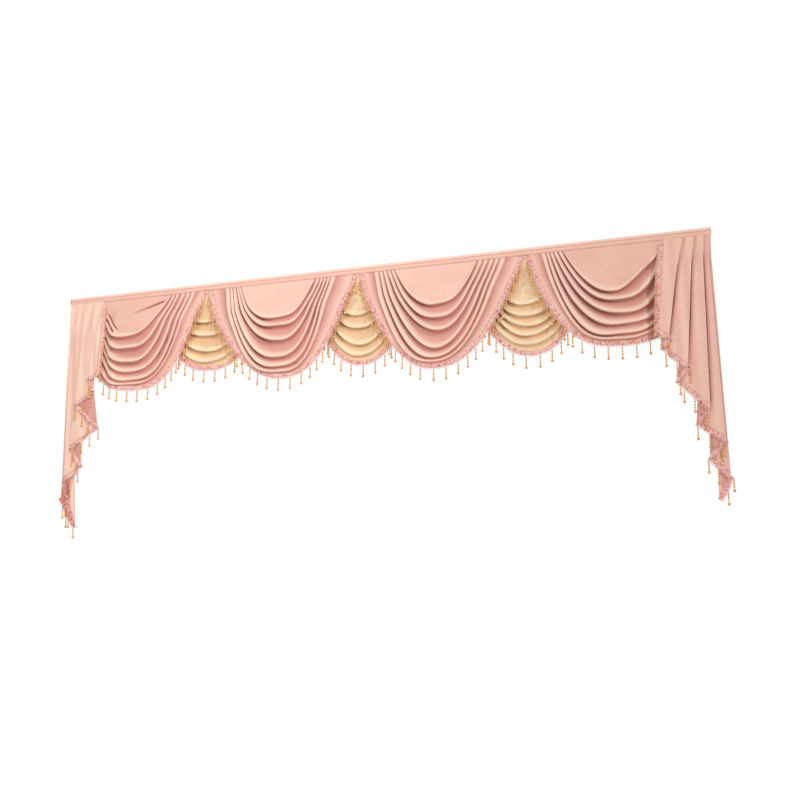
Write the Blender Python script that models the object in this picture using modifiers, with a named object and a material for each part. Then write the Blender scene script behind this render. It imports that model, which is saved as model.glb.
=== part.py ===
"""A swag valance: pink swags over cream under-swags, a cascade tail at each end, beaded braid.

Metres, +Z up. The origin is at the middle of the top edge, on the flat back of the heading.
The cloths hang in the XZ plane and come forward along -Y.
"""

import bmesh
import bpy
import numpy as np
from mathutils import Vector

# Whole valance
WIDTH = 3.0
HEADING_HEIGHT = 0.032
BAND_SHEET = 0.0015
CLOTH_SHEET = 0.0015
BRAID_SHEET = 0.0016
PIECE_GAP = 0.0004

# The layers in the heading, from the back: under-swag, swag, tail
LAYER_STEP = CLOTH_SHEET + PIECE_GAP
UNDER_DEPTH = BAND_SHEET + PIECE_GAP + CLOTH_SHEET / 2
SWAG_DEPTH = UNDER_DEPTH + LAYER_STEP
TAIL_DEPTH = SWAG_DEPTH + LAYER_STEP
BAND_DEPTH = TAIL_DEPTH + CLOTH_SHEET / 2 + PIECE_GAP + BAND_SHEET

# Heights of the cloth in the heading, and just below it
TUCKED_Z = -0.014
BELOW_BAND_GAP = 0.001
BELOW_BAND_Z = -HEADING_HEIGHT - BELOW_BAND_GAP

# How far the cloth comes forward below the heading, and over what drop it does so
SWAG_FORWARD = 0.042
SWAG_FORWARD_DROP = 0.15
UNDER_FORWARD = 0.014
UNDER_FORWARD_DROP = 0.20
SWAG_FOLD_FULL_DROP = 0.08
UNDER_FOLD_FULL_DROP = 0.18
FOLD_SHARE = 0.32

# The outer swags lie flatter where the tails cover them
PRESSED_FROM_X = 1.22
PRESSED_OVER = 0.06
PRESSED_SHARE = 0.60

# A fold from one crest down to the next: share of the way down, share of the fold's depth,
# and which of the two crests it is measured by
FOLD_STEPS = ((0.13, 0.05, 0), (0.72, 0.12, 1))

# The plain top rolls out to the first crest over its lowest part
FIRST_ROLL_DOWN = 0.80
FIRST_ROLL_OUT = 0.08
SWAG_FOLD_DEPTH = 0.024
UNDER_FOLD_DEPTH = 0.015

# Tails: depth of the rearmost layer, step between layers, drop over which they spread,
# drop over which their pleats round, width of a pleat's turn in the heading
TAIL_REAR = 0.030
TAIL_STEP = 0.0050
TAIL_SPREAD_DROP = 0.18
TAIL_ROUND_DROP = 0.06
TAIL_TOP_STEP = 0.0006
TAIL_ROWS = 9
TAIL_ROW_POWER = 1.15

# Braid and bead strands
BRAID_WIDTH = 0.018
BRAID_TOP_WIDTH = 0.014
BRAID_GAP = 0.0010
STRAND_PITCH = 0.060
STRAND_ROOT = 0.0040
STRAND_LENGTH = 0.056
DROP_AT = 0.76
DROP_HALF = 0.0045
TAIL_DROP_HALF = 0.0030
TIP_HALF = 0.0010
STRAND_OUT = 0.005
STRAND_CLEAR = 0.001

# Which points of a cloth's edge the braid leaves out, below the heading
HEM_KEPT_FROM = 1
UNDER_HEM_KEPT_FROM = 3
INNER_EDGE_KEPT_FROM = 2

# Fold lines of each swag from the plain top down; the last row is the hem.
# left: where it leaves the heading, left_power: how square its left half hangs,
# low_x, low_z: its lowest point, right_power and right: the same on the right side
SWAG_COLUMNS = ("left", "left_power", "low_x", "low_z", "right_power", "right")
SWAG_1 = (
    (-1.330, 4.0, -1.130, -0.225, 2.4, -0.940),
    (-1.345, 3.5, -1.120, -0.285, 2.6, -0.920),
    (-1.355, 3.2, -1.120, -0.350, 2.6, -0.900),
    (-1.370, 3.0, -1.120, -0.395, 3.0, -0.870),
    (-1.385, 3.3, -1.110, -0.436, 3.0, -0.845),
    (-1.400, 4.0, -1.110, -0.458, 2.8, -0.820),
    (-1.475, 3.2, -1.100, -0.470, 2.8, -0.762),
)
SWAG_2 = (
    (-0.580, 3.1, -0.363, -0.204, 3.2, -0.210),
    (-0.595, 2.8, -0.360, -0.245, 3.0, -0.185),
    (-0.605, 2.4, -0.360, -0.311, 2.7, -0.168),
    (-0.620, 2.7, -0.360, -0.385, 2.8, -0.152),
    (-0.635, 2.8, -0.360, -0.428, 3.0, -0.136),
    (-0.650, 3.0, -0.360, -0.456, 3.1, -0.120),
    (-0.742, 2.1, -0.365, -0.468, 2.6, -0.014),
)
SWAG_3 = (
    (0.165, 2.1, 0.367, -0.217, 3.0, 0.540),
    (0.150, 2.2, 0.378, -0.277, 2.4, 0.565),
    (0.133, 2.0, 0.378, -0.331, 2.2, 0.590),
    (0.115, 2.0, 0.368, -0.405, 2.1, 0.615),
    (0.097, 2.2, 0.358, -0.446, 2.2, 0.637),
    (0.080, 2.6, 0.349, -0.466, 2.3, 0.660),
    (0.010, 2.1, 0.345, -0.478, 2.4, 0.737),
)
SWAG_4 = (
    (0.905, 2.3, 1.126, -0.232, 2.7, 1.290),
    (0.885, 2.2, 1.126, -0.272, 3.6, 1.315),
    (0.867, 2.3, 1.140, -0.326, 4.0, 1.332),
    (0.852, 2.5, 1.126, -0.370, 4.8, 1.350),
    (0.838, 2.8, 1.110, -0.412, 4.4, 1.368),
    (0.822, 2.8, 1.106, -0.434, 4.0, 1.388),
    (0.759, 2.7, 1.120, -0.446, 3.4, 1.475),
)
SWAGS = {"swag_1": SWAG_1, "swag_2": SWAG_2, "swag_3": SWAG_3, "swag_4": SWAG_4}

# The under-swags hang from one line each; half is half their width at the heading
UNDER_COLUMNS = ("half", "low_x", "low_z", "power")
UNDERSWAG_1 = (
    (0.205, -0.735, -0.186, 2.4),
    (0.235, -0.730, -0.252, 2.4),
    (0.265, -0.728, -0.324, 2.4),
    (0.285, -0.728, -0.374, 2.4),
    (0.315, -0.724, -0.402, 2.4),
)
UNDERSWAG_2 = (
    (0.175, 0.010, -0.222, 2.3),
    (0.200, 0.011, -0.282, 2.3),
    (0.225, 0.015, -0.356, 2.2),
    (0.250, 0.016, -0.404, 2.2),
    (0.280, 0.018, -0.434, 2.2),
)
UNDERSWAG_3 = (
    (0.195, 0.750, -0.246, 2.3),
    (0.225, 0.756, -0.302, 2.3),
    (0.250, 0.760, -0.358, 2.3),
    (0.275, 0.760, -0.416, 2.2),
    (0.305, 0.763, -0.452, 2.2),
)
UNDERSWAGS = {"underswag_1": UNDERSWAG_1, "underswag_2": UNDERSWAG_2, "underswag_3": UNDERSWAG_3}

# Edges of the tails' pleats, from the inner edge to the outer one, with a fold at each between:
# x in the heading, x at the hem, z at the hem
TAIL_LEFT = (
    (-1.312, -1.291, -0.395),
    (-1.370, -1.338, -0.413),
    (-1.376, -1.314, -0.470),
    (-1.420, -1.418, -0.531),
    (-1.426, -1.294, -0.640),
    (-1.462, -1.444, -0.735),
    (-1.468, -1.380, -0.818),
    (-1.484, -1.482, -0.887),
    (-1.490, -1.414, -1.096),
    (-1.497, -1.497, -0.968),
)
TAIL_RIGHT = (
    (1.312, 1.278, -0.412),
    (1.385, 1.317, -0.446),
    (1.391, 1.288, -0.478),
    (1.428, 1.381, -0.563),
    (1.434, 1.338, -0.611),
    (1.464, 1.453, -0.725),
    (1.470, 1.400, -0.781),
    (1.481, 1.503, -0.855),
    (1.486, 1.440, -0.917),
    (1.492, 1.510, -0.994),
    (1.497, 1.462, -1.084),
)
TAILS = {"tail_left": TAIL_LEFT, "tail_right": TAIL_RIGHT}

# How far each tail's layers move in towards the middle as they come forward, per metre
TAIL_LEAN = {"tail_left": 0.73, "tail_right": 0.0}

# How far in from the first fold line the plain top starts, points along each fold line,
# and samples of the curve that they are taken from
TOP_INSET = 0.006
SWAG_SPANS = 18
UNDER_SPANS = 14
CURVE_SAMPLES = 200

PINK = (0.80, 0.47, 0.41)
CREAM = (0.84, 0.69, 0.45)
BRAID_PINK = (0.82, 0.43, 0.42)
CLOTH_ROUGHNESS = 0.5
BRAID_ROUGHNESS = 0.6


def smooth(share):
    """A ramp from 0 to 1 with level ends."""
    share = min(1.0, max(0.0, share))
    return share * share * (3 - 2 * share)


def pressed(x):
    return 1 - PRESSED_SHARE * smooth((abs(x) - PRESSED_FROM_X) / PRESSED_OVER)


def swag_depth(x, z):
    """How far forward a swag's recesses lie."""
    return SWAG_DEPTH + SWAG_FORWARD * pressed(x) * smooth((BELOW_BAND_Z - z) / SWAG_FORWARD_DROP)


def under_depth(x, z):
    return UNDER_DEPTH + UNDER_FORWARD * smooth((BELOW_BAND_Z - z) / UNDER_FORWARD_DROP)


def hanging_line(left, left_power, low_x, low_z, right_power, right, spans):
    """Points of one fold line, evenly spaced along it, with its ends tucked in the heading."""
    share = np.linspace(-1, 1, CURVE_SAMPLES)
    left_half = share < 0
    x = np.where(left_half, low_x + (low_x - left) * share, low_x + (right - low_x) * share)
    power = np.where(left_half, left_power, right_power)
    z = low_z + (TUCKED_Z - low_z) * np.abs(share) ** power
    length = np.concatenate(([0], np.cumsum(np.hypot(np.diff(x), np.diff(z)))))
    below = np.nonzero(z < BELOW_BAND_Z)[0]
    inside = np.linspace(length[below[0]], length[below[-1]], spans - 1)
    places = np.concatenate(([0], inside, [length[-1]]))
    return np.stack((np.interp(places, length, x), np.interp(places, length, z)), axis=1)


def top_lines(first, spans):
    """Two straight lines across the plain top: one in the heading, one just below it."""
    left, right = first[0][0] + TOP_INSET, first[-1][0] - TOP_INSET
    across = np.linspace(left, right, spans + 1)
    tucked = np.stack((across, np.full(spans + 1, TUCKED_Z)), axis=1)
    below = np.stack((across, np.full(spans + 1, BELOW_BAND_Z)), axis=1)
    below[0] = (left - TOP_INSET / 2, TUCKED_Z)
    below[-1] = (right + TOP_INSET / 2, TUCKED_Z)
    return [tucked, below]


def draped(lines, depth_at, fold_depth, full_drop):
    """Rows of points of a swag: its fold lines, with the steps of a fold between each two."""
    count = len(lines)
    heights = np.zeros((count, len(lines[0])))
    for row in range(2, count - 1):
        spacing = np.linalg.norm(lines[row + 1] - lines[row], axis=1)
        before = np.linalg.norm(lines[row] - lines[row - 1], axis=1)
        heights[row] = np.minimum(np.minimum(spacing, before) * FOLD_SHARE, fold_depth)
        if row == count - 2:
            heights[row] = np.minimum(before * FOLD_SHARE, fold_depth)
    rows = []

    def add(flat, forward):
        row = []
        for (x, z), height in zip(flat, forward):
            fullness = smooth((BELOW_BAND_Z - z) / full_drop) * pressed(x)
            row.append(Vector((x, -depth_at(x, z) - height * fullness, z)))
        rows.append(row)

    add(lines[0], heights[0])
    add(lines[1], heights[1])
    add(lines[1] + (lines[2] - lines[1]) * FIRST_ROLL_DOWN, heights[2] * FIRST_ROLL_OUT)
    add(lines[2], heights[2])
    for row in range(2, count - 1):
        step = lines[row + 1] - lines[row]
        for down, out, crest in FOLD_STEPS:
            add(lines[row] + step * down, heights[row + crest] * out)
        add(lines[row + 1], heights[row + 1])
    return rows


def tail_front(layers, z):
    """How far forward the front layer of a tail lies."""
    front = TAIL_REAR + TAIL_STEP * (layers - 1)
    return TAIL_DEPTH + (front - TAIL_DEPTH) * smooth((BELOW_BAND_Z - z) / TAIL_SPREAD_DROP)


def pleated(edges, outward, lean):
    """Rows of points of a tail: flat layers side by side at the top, one behind another below."""
    layers = len(edges) - 1
    depths = [TAIL_REAR + TAIL_STEP * (layers - 1 - layer) for layer in range(layers)]
    rows = []
    for index in range(TAIL_ROWS + 1):
        share = (max(0, index - 1) / (TAIL_ROWS - 1)) ** TAIL_ROW_POWER
        row = []
        for number, (top_x, low_x, low_z) in enumerate(edges):
            z = BELOW_BAND_Z + (low_z - BELOW_BAND_Z) * share if index else TUCKED_Z
            drop = max(0.0, BELOW_BAND_Z - z)
            spread = smooth(drop / TAIL_SPREAD_DROP)
            rounded = smooth(drop / TAIL_ROUND_DROP)
            x = top_x + (low_x - top_x) * share
            arriving = outward if number % 2 else -outward
            near = depths[max(number - 1, 0)]
            far = depths[min(number, layers - 1)]
            turn = ((-1, near), (0, (near + far) / 2), (1, far))
            if number == 0:
                turn = ((0, far),)
            if number == layers:
                turn = ((0, near),)
            for side, depth in turn:
                flat_x = side * TAIL_TOP_STEP * outward
                round_x = -abs(side) * TAIL_STEP / 2 * arriving
                forward = depth - TAIL_DEPTH
                leaning = outward * lean * forward * (share - spread)
                row.append(Vector((
                    x + flat_x + (round_x - flat_x) * rounded + leaning,
                    -TAIL_DEPTH - forward * spread,
                    z,
                )))
        rows.append(row)
    return rows


def put(name, mesh, material, collection):
    thing = bpy.data.objects.new(name, mesh)
    thing.data.materials.append(material)
    collection.objects.link(thing)
    return thing


def sheet(name, rows, thickness, material, collection):
    """A cloth of one thickness through rows of points."""
    mesh = bpy.data.meshes.new(name)
    builder = bmesh.new()
    across, down = len(rows[0]) - 1, len(rows) - 1
    bmesh.ops.create_grid(builder, x_segments=across, y_segments=down, size=1)
    for vertex in builder.verts:
        column = round((vertex.co.x + 1) / 2 * across)
        row = round((vertex.co.y + 1) / 2 * down)
        vertex.co = rows[row][column]
    builder.to_mesh(mesh)
    builder.free()
    mesh.shade_smooth()
    thing = put(name, mesh, material, collection)
    solidify = thing.modifiers.new("thickness", "SOLIDIFY")
    solidify.thickness = thickness
    solidify.offset = 0
    return thing


def strand(builder, root, centre, lowest, half_drop):
    """One bead strand, drawn down out of a face of the braid's edge."""
    drop_centre = centre.lerp(lowest, DROP_AT)
    for middle, half in ((drop_centre, half_drop), (lowest, TIP_HALF)):
        root = bmesh.ops.extrude_discrete_faces(builder, faces=[root])["faces"][0]
        corners = [loop.vert for loop in root.loops]
        before = sum((corner.co for corner in corners), Vector()) / 4
        for corner in corners:
            side = corner.co - before
            side.z = 0
            spread = Vector((half if side.x > 0 else -half, half if side.y > 0 else -half, 0))
            corner.co = middle + spread


def braid(name, edge, inner, strands_on, depth_at, half_drop, material, collection):
    """A strip that carries on from a cloth's edge, with bead strands fused to its lower side.

    edge: points along the cloth's edge, inner: the points next to them inside the cloth.
    """
    outward = []
    for number, point in enumerate(edge):
        before, after = edge[max(number - 1, 0)], edge[min(number + 1, len(edge) - 1)]
        along = (after - before).normalized()
        away = point - inner[number]
        away -= along * away.dot(along)
        outward.append(away.normalized())
    stations = []
    for number in range(len(edge) - 1):
        length = (edge[number + 1] - edge[number]).length
        stations.append((number, 0.0, None))
        count = round(length / STRAND_PITCH) if strands_on(edge[number], edge[number + 1]) else 0
        for place_number in range(count):
            middle = (place_number + 0.5) / count
            half = STRAND_ROOT / 2 / length
            stations.append((number, middle - half, "strand"))
            stations.append((number, middle + half, None))
    stations.append((len(edge) - 2, 1.0, None))
    builder = bmesh.new()
    sections = []
    for number, share, _ in stations:
        point = edge[number].lerp(edge[number + 1], share)
        away = outward[number].lerp(outward[number + 1], share).normalized()
        along = (edge[number + 1] - edge[number]).normalized()
        normal = along.cross(away).normalized() * (BRAID_SHEET / 2)
        below_top = smooth((BELOW_BAND_Z - point.z) / BRAID_WIDTH)
        width = BRAID_TOP_WIDTH + (BRAID_WIDTH - BRAID_TOP_WIDTH) * below_top
        near, far = point + away * BRAID_GAP, point + away * (BRAID_GAP + width)
        corners = (near + normal, far + normal, far - normal, near - normal)
        sections.append([builder.verts.new(corner) for corner in corners])
    roots = []
    for number in range(len(sections) - 1):
        first, second = sections[number], sections[number + 1]
        for side in range(4):
            after = (side + 1) % 4
            face = builder.faces.new((first[side], first[after], second[after], second[side]))
            if side == 1 and stations[number][2]:
                roots.append((face, outward[stations[number][0]]))
    builder.faces.new(sections[0][::-1])
    builder.faces.new(sections[-1])
    bmesh.ops.recalc_face_normals(builder, faces=builder.faces[:])
    for face, away in roots:
        top = face.calc_center_median() + Vector((away.x, 0, 0)) * STRAND_OUT
        low = top - Vector((0, 0, STRAND_LENGTH))
        low.y = min(top.y, -depth_at(low.x, low.z)) - STRAND_CLEAR
        strand(builder, face, top, low, half_drop)
    mesh = bpy.data.meshes.new(name)
    builder.to_mesh(mesh)
    builder.free()
    return put(name, mesh, material, collection)


def heading(material, collection):
    """The band: one strip folded over the top, whose sides take in the tops of the cloths."""
    profile = (
        (0, -HEADING_HEIGHT),
        (0, 0),
        (-BAND_DEPTH, 0),
        (-BAND_DEPTH, -HEADING_HEIGHT),
        (-BAND_DEPTH + BAND_SHEET, -HEADING_HEIGHT),
        (-BAND_DEPTH + BAND_SHEET, -BAND_SHEET),
        (-BAND_SHEET, -BAND_SHEET),
        (-BAND_SHEET, -HEADING_HEIGHT),
    )
    builder = bmesh.new()
    corners = [builder.verts.new((-WIDTH / 2, y, z)) for y, z in profile]
    end = builder.faces.new(corners)
    grown = bmesh.ops.extrude_face_region(builder, geom=[end])["geom"]
    moved = [item for item in grown if isinstance(item, bmesh.types.BMVert)]
    bmesh.ops.translate(builder, verts=moved, vec=(WIDTH, 0, 0))
    bmesh.ops.recalc_face_normals(builder, faces=builder.faces[:])
    mesh = bpy.data.meshes.new("heading")
    builder.to_mesh(mesh)
    builder.free()
    return put("heading", mesh, material, collection)


def material(name, colour, roughness):
    made = bpy.data.materials.new(name)
    made.use_nodes = True
    surface = made.node_tree.nodes["Principled BSDF"]
    surface.inputs["Base Color"].default_value = (*colour, 1)
    surface.inputs["Roughness"].default_value = roughness
    surface.inputs["Metallic"].default_value = 0
    return made


def build_swag(name, table, collection):
    lines = [hanging_line(**dict(zip(SWAG_COLUMNS, row)), spans=SWAG_SPANS) for row in table]
    lines = top_lines(lines[0], SWAG_SPANS) + lines
    rows = draped(lines, swag_depth, SWAG_FOLD_DEPTH, SWAG_FOLD_FULL_DROP)
    sheet(name, rows, CLOTH_SHEET, material(name, PINK, CLOTH_ROUGHNESS), collection)
    hem = slice(HEM_KEPT_FROM, -HEM_KEPT_FROM)
    braid(
        "trim_" + name, rows[-1][hem], rows[-2][hem],
        lambda first, second: max(abs(first.x), abs(second.x)) < PRESSED_FROM_X + PRESSED_OVER,
        swag_depth, DROP_HALF, material("trim_" + name, BRAID_PINK, BRAID_ROUGHNESS), collection,
    )


def build_underswag(name, table, collection):
    lines = []
    for row in table:
        one = dict(zip(UNDER_COLUMNS, row))
        low_x, half, power = one["low_x"], one["half"], one["power"]
        lines.append(
            hanging_line(low_x - half, power, low_x, one["low_z"], power, low_x + half, UNDER_SPANS)
        )
    lines = top_lines(lines[0], UNDER_SPANS) + lines
    rows = draped(lines, under_depth, UNDER_FOLD_DEPTH, UNDER_FOLD_FULL_DROP)
    sheet(name, rows, CLOTH_SHEET, material(name, CREAM, CLOTH_ROUGHNESS), collection)
    hem = slice(UNDER_HEM_KEPT_FROM, -UNDER_HEM_KEPT_FROM)
    braid(
        "trim_" + name, rows[-1][hem], rows[-2][hem], lambda first, second: True,
        under_depth, DROP_HALF, material("trim_" + name, BRAID_PINK, BRAID_ROUGHNESS), collection,
    )


def build_tail(name, table, collection):
    outward = 1 if table[0][0] > 0 else -1
    rows = pleated(table, outward, TAIL_LEAN[name])
    sheet(name, rows, CLOTH_SHEET, material(name, PINK, CLOTH_ROUGHNESS), collection)
    inner_edge = [row[0] for row in rows[INNER_EDGE_KEPT_FROM:]]
    inner_next = [row[1] for row in rows[INNER_EDGE_KEPT_FROM:]]
    hem_edge, hem_next = rows[-1][1:], rows[-2][1:]
    inner_hem_z = table[0][2]
    braid(
        "trim_" + name, inner_edge + hem_edge, inner_next + hem_next,
        lambda first, second: (second - first).length > STRAND_PITCH / 2,
        lambda x, z: tail_front(len(table) - 1, z) if z > inner_hem_z else 0.0,
        TAIL_DROP_HALF, material("trim_" + name, BRAID_PINK, BRAID_ROUGHNESS), collection,
    )


def main():
    for thing in list(bpy.data.objects):
        bpy.data.objects.remove(thing, do_unlink=True)
    collection = bpy.data.collections.new("swag_valance")
    bpy.context.scene.collection.children.link(collection)
    heading(material("heading", PINK, CLOTH_ROUGHNESS), collection)
    for name, table in SWAGS.items():
        build_swag(name, table, collection)
    for name, table in UNDERSWAGS.items():
        build_underswag(name, table, collection)
    for name, table in TAILS.items():
        build_tail(name, table, collection)


main()
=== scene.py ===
"""A swag valance: pink swags over cream under-swags, a cascade tail at each end, beaded braid."""

import math

import bpy
import numpy as np
from mathutils import Matrix, Vector


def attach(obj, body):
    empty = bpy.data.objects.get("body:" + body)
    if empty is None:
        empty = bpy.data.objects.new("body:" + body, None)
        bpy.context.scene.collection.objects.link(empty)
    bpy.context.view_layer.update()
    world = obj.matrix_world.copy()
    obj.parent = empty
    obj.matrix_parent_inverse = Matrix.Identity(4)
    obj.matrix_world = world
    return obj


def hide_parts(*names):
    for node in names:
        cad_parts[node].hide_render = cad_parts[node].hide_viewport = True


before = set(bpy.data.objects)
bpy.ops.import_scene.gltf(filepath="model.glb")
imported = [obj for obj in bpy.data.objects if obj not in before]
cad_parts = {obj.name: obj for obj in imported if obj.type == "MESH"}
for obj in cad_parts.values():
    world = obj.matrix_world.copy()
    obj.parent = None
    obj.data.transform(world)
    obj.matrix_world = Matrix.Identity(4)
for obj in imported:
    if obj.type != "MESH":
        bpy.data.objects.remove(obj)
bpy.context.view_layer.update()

# The studio: a white floor and backdrop, and a camera low down in front of the right end,
# which looks up and to the left at the valance.
CAMERA_AT = (1.4925, -4.0275, -1.32)
CAMERA_TURN = -18.0
CAMERA_TILT = 9.5
CAMERA_ROLL = -0.88
LENS = 45
SENSOR_WIDTH = 36
FLOOR_Z = -2.7
FLOOR_LOW = (-4.0, -5.0)
FLOOR_HIGH = (4.0, 1.0)
FLOOR_COLOUR = (0.95, 0.95, 0.95)
FLOOR_ROUGHNESS = 0.9
GLOW_COLOUR = (1.0, 0.90, 0.86)
GLOW_STRENGTH = 0.50

camera = bpy.data.objects.new("camera", bpy.data.cameras.new("camera"))
camera.data.lens = LENS
camera.data.sensor_width = SENSOR_WIDTH
turn, tilt, roll = (math.radians(angle) for angle in (CAMERA_TURN, CAMERA_TILT, CAMERA_ROLL))
ahead = Vector((math.sin(turn) * math.cos(tilt), math.cos(turn) * math.cos(tilt), math.sin(tilt)))
level = ahead.cross(Vector((0, 0, 1))).normalized()
upright = level.cross(ahead)
right = level * math.cos(roll) + upright * math.sin(roll)
above = upright * math.cos(roll) - level * math.sin(roll)
camera.matrix_world = Matrix.Translation(CAMERA_AT) @ Matrix((right, above, -ahead)).transposed().to_4x4()
bpy.context.scene.collection.objects.link(camera)
bpy.context.scene.camera = camera
bpy.context.scene.view_settings.view_transform = "Standard"

floor_mesh = bpy.data.meshes.new("floor")
floor_corners = (FLOOR_LOW, (FLOOR_HIGH[0], FLOOR_LOW[1]), FLOOR_HIGH, (FLOOR_LOW[0], FLOOR_HIGH[1]))
floor_mesh.from_pydata([(x, y, FLOOR_Z) for x, y in floor_corners], [], [(0, 1, 2, 3)])
floor = bpy.data.objects.new("floor", floor_mesh)
bpy.context.scene.collection.objects.link(floor)
floor_white = bpy.data.materials.new("floor_white")
floor_white.use_nodes = True
floor_surface = floor_white.node_tree.nodes["Principled BSDF"]
floor_surface.inputs["Base Color"].default_value = (*FLOOR_COLOUR, 1)
floor_surface.inputs["Roughness"].default_value = FLOOR_ROUGHNESS
floor.data.materials.append(floor_white)

# A soft glow lights the valance from all round, and the backdrop behind it is plain white.
world = bpy.data.worlds.new("studio")
bpy.context.scene.world = world
world.use_nodes = True
nodes, links = world.node_tree.nodes, world.node_tree.links
glow = nodes["Background"]
glow.inputs["Color"].default_value = (*GLOW_COLOUR, 1)
glow.inputs["Strength"].default_value = GLOW_STRENGTH
backdrop = nodes.new("ShaderNodeBackground")
backdrop.inputs["Color"].default_value = (1, 1, 1, 1)
backdrop.inputs["Strength"].default_value = 1.0
chooser = nodes.new("ShaderNodeMixShader")
ray = nodes.new("ShaderNodeLightPath")
links.new(ray.outputs["Is Camera Ray"], chooser.inputs["Fac"])
links.new(glow.outputs[0], chooser.inputs[1])
links.new(backdrop.outputs[0], chooser.inputs[2])
links.new(chooser.outputs[0], nodes["World Output"].inputs["Surface"])

LAMPS = (
    {"name": "key", "kind": "SUN", "at": (4.9, -5.0, 3.6), "aim": (0, 0, 0), "energy": 0.98,
     "colour": (1.0, 0.95, 0.95)},
    {"name": "fill", "kind": "POINT", "at": (-0.45, -1.95, 0.4), "aim": (-0.4, 0, -0.3), "energy": 62,
     "colour": (1.0, 0.98, 0.92)},
    {"name": "back", "kind": "POINT", "at": (0.6, 3.2, 0.8), "aim": (0, 0, -0.4), "energy": 150,
     "colour": (1.0, 0.98, 0.95)},
)
KEY_ANGLE = 0.13
LAMP_RADIUS = 0.7
for lamp in LAMPS:
    light = bpy.data.lights.new(lamp["name"], lamp["kind"])
    light.energy = lamp["energy"]
    light.color = lamp["colour"]
    if lamp["kind"] == "SUN":
        light.angle = KEY_ANGLE
    else:
        light.shadow_soft_size = LAMP_RADIUS
    holder = bpy.data.objects.new(lamp["name"], light)
    holder.location = lamp["at"]
    holder.rotation_euler = (Vector(lamp["aim"]) - Vector(lamp["at"])).to_track_quat("-Z", "Y").to_euler()
    bpy.context.scene.collection.objects.link(holder)


# Under-swags: cream satin cloths that hang behind, and show in the gaps between the swags.
# Each is one cut cloth whose sides are drawn up and sewn into the heading, so that it hangs in folds.
HEADING_HEIGHT = 0.032
TUCKED_Z = -0.014
BAND_CLEAR = 0.001
BELOW_BAND_Z = -HEADING_HEIGHT - BAND_CLEAR
UNDER_DEPTH = 0.00265
UNDER_FORWARD = 0.014
UNDER_FORWARD_DROP = 0.20
UNDER_FOLD_DEPTH = 0.017
UNDER_FOLD_FULL_DROP = 0.10
UNDER_SPANS = 84
UNDER_TOP_ROWS = 26
UNDER_PLAIN = 0.80
UNDER_WAVER = 1.9
# Small dents all over the cloth: turns per metre across and down of the two waves that make them.
RUMPLE = 0.0014
RUMPLE_TURNS = ((68, 35), (-24, 105))
# The dents are painted lighter where the cloth bulges out and darker in them, as painted light and shade, on
# the lighter parts of the cloth only.
RUMPLE_TONE = 0.08
RUMPLE_FROM_TONE = 0.35
RUMPLE_OVER_TONE = 0.35
CLOTH_THICK = 0.0012
# A fold line is a power curve down from each side, a little uneven along its length.
LINE_SAMPLES = 801
WAVER_HEIGHT = 0.0016
WAVER_TURNS = 7.0
SIDE_INSET = 0.006
SIDE_FLARE = 0.003
FOLD_SHARE = 0.42
FOLD_UNEVEN = 0.12
FOLD_UNEVEN_TURNS = 9
FOLD_UNEVEN_SHIFT = 2.1
FIRST_ROLL_SHARE = 0.14
ROLL_WIDTH = 0.025
CREASE_WIDTH = 0.0105
CREASE_WIDENS = 0.0065
HAIR = 1e-6
# A fold from one crest down to the next: share of the way down, share of the fold's depth, and tone, 0
# painted shade in the crease and 1 and over a painted highlight on the roll.
# The cloth drops sharply behind its crest, lies back, and rolls out again to the next crest.
FOLD_PROFILE = (
    (0.014, 0.99, 1.00), (0.028, 0.94, 0.90), (0.044, 0.80, 0.45), (0.060, 0.54, 0.00),
    (0.080, 0.30, 0.00), (0.102, 0.16, 0.00), (0.128, 0.09, 0.00), (0.150, 0.05, 0.14),
    (0.200, 0.03, 0.20), (0.300, 0.01, 0.23), (0.440, 0.00, 0.27), (0.580, 0.02, 0.32),
    (0.680, 0.07, 0.40), (0.755, 0.20, 0.60), (0.815, 0.40, 0.86), (0.865, 0.62, 1.00),
    (0.915, 0.82, 1.04), (0.960, 0.96, 1.04),
)
CREASE_TO = 0.150
CREASE_MOST = 0.48
ROLL_FROM = 0.68
ROLL_MOST = 0.50
# The last fold down to the hem, in the same columns, with its painted shade and painted highlight.
HEM_PROFILE = (
    (0.04, 0.98, 0.98), (0.09, 0.90, 0.80), (0.14, 0.70, 0.40), (0.19, 0.45, 0.12), (0.30, 0.22, 0.30),
    (0.50, 0.08, 0.50), (0.75, 0.02, 0.72), (1.0, 0.0, 0.85),
)
# How strong the crease below a roll is along the fold, in its width and its painted shade: share from the
# left end, strength.
UNDER_STRENGTH = ((0.0, 1.0), (0.32, 1.0), (0.44, 0.35), (0.60, 0.20), (0.74, 0.60), (1.0, 0.8))
# Where a crease is weak, its painted shade is lifted to a tone of at least SOFT_CREASE, and by CREASE_PALER
# more where the tone is below RECESS_TONE.
SOFT_CREASE = 0.20
CREASE_PALER = 0.03
RECESS_TONE = 0.5
# Fold lines from the top down, the last one the hem: half width, x and z of the lowest point, power.
UNDERSWAGS = {
    "underswag_1": (
        (0.205, -0.735, -0.186, 2.4),
        (0.235, -0.730, -0.252, 2.4),
        (0.265, -0.728, -0.324, 2.4),
        (0.285, -0.728, -0.374, 2.4),
        (0.315, -0.724, -0.402, 2.4),
    ),
    "underswag_2": (
        (0.175, 0.010, -0.222, 2.3),
        (0.200, 0.011, -0.282, 2.3),
        (0.225, 0.015, -0.356, 2.2),
        (0.250, 0.016, -0.404, 2.2),
        (0.280, 0.018, -0.434, 2.2),
    ),
    "underswag_3": (
        (0.195, 0.750, -0.246, 2.3),
        (0.222, 0.755, -0.297, 2.3),
        (0.242, 0.759, -0.338, 2.3),
        (0.260, 0.760, -0.379, 2.2),
        (0.281, 0.760, -0.420, 2.2),
        (0.305, 0.763, -0.452, 2.2),
    ),
}


def ramp(share):
    """0 to 1 with level ends."""
    share = np.clip(share, 0.0, 1.0)
    return share * share * (3 - 2 * share)


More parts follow.
